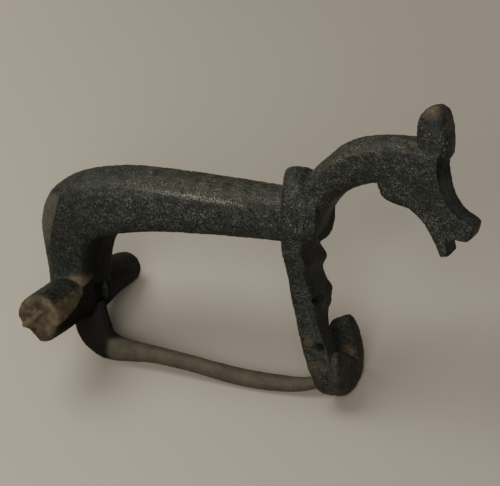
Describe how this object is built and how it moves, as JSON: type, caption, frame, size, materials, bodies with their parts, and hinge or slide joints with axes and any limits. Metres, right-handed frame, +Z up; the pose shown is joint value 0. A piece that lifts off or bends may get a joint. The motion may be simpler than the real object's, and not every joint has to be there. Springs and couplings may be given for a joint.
{
  "type": "bow brooch",
  "caption": "Cast bronze bow brooch of knee type, its bow run on into an arched neck and animal head, with a hinged pin in a hooked catch.",
  "frame": {"origin": "the middle of the outline seen from above, on the surface that the brooch lies on", "axes": "+X from the hinge towards the animal head, +Z up as the brooch lies on its pin side, -Y the side that leans up towards the viewer"},
  "size_m": [0.0424, 0.0188, 0.0268],
  "materials": {
    "cast_bronze": "dark green-black corrosion crust, granular, with pale specks and ochre patches",
    "rod_bronze": "brown corrosion",
    "pin_bronze": "tan-brown corrosion, smoother"
  },
  "bodies": {
    "brooch": {"brooch_body": "cast_bronze", "hinge_rod": "rod_bronze"},
    "pin": {"pin": "pin_bronze"}
  },
  "joints": [
    {"name": "pin_hinge", "type": "hinge", "parent": "brooch", "child": "pin", "pos_m": [-0.01741, -0.00131, 0.00542], "axis": [0.0117, 0.9014, -0.4329], "range_deg": [0, 60]}
  ]
}
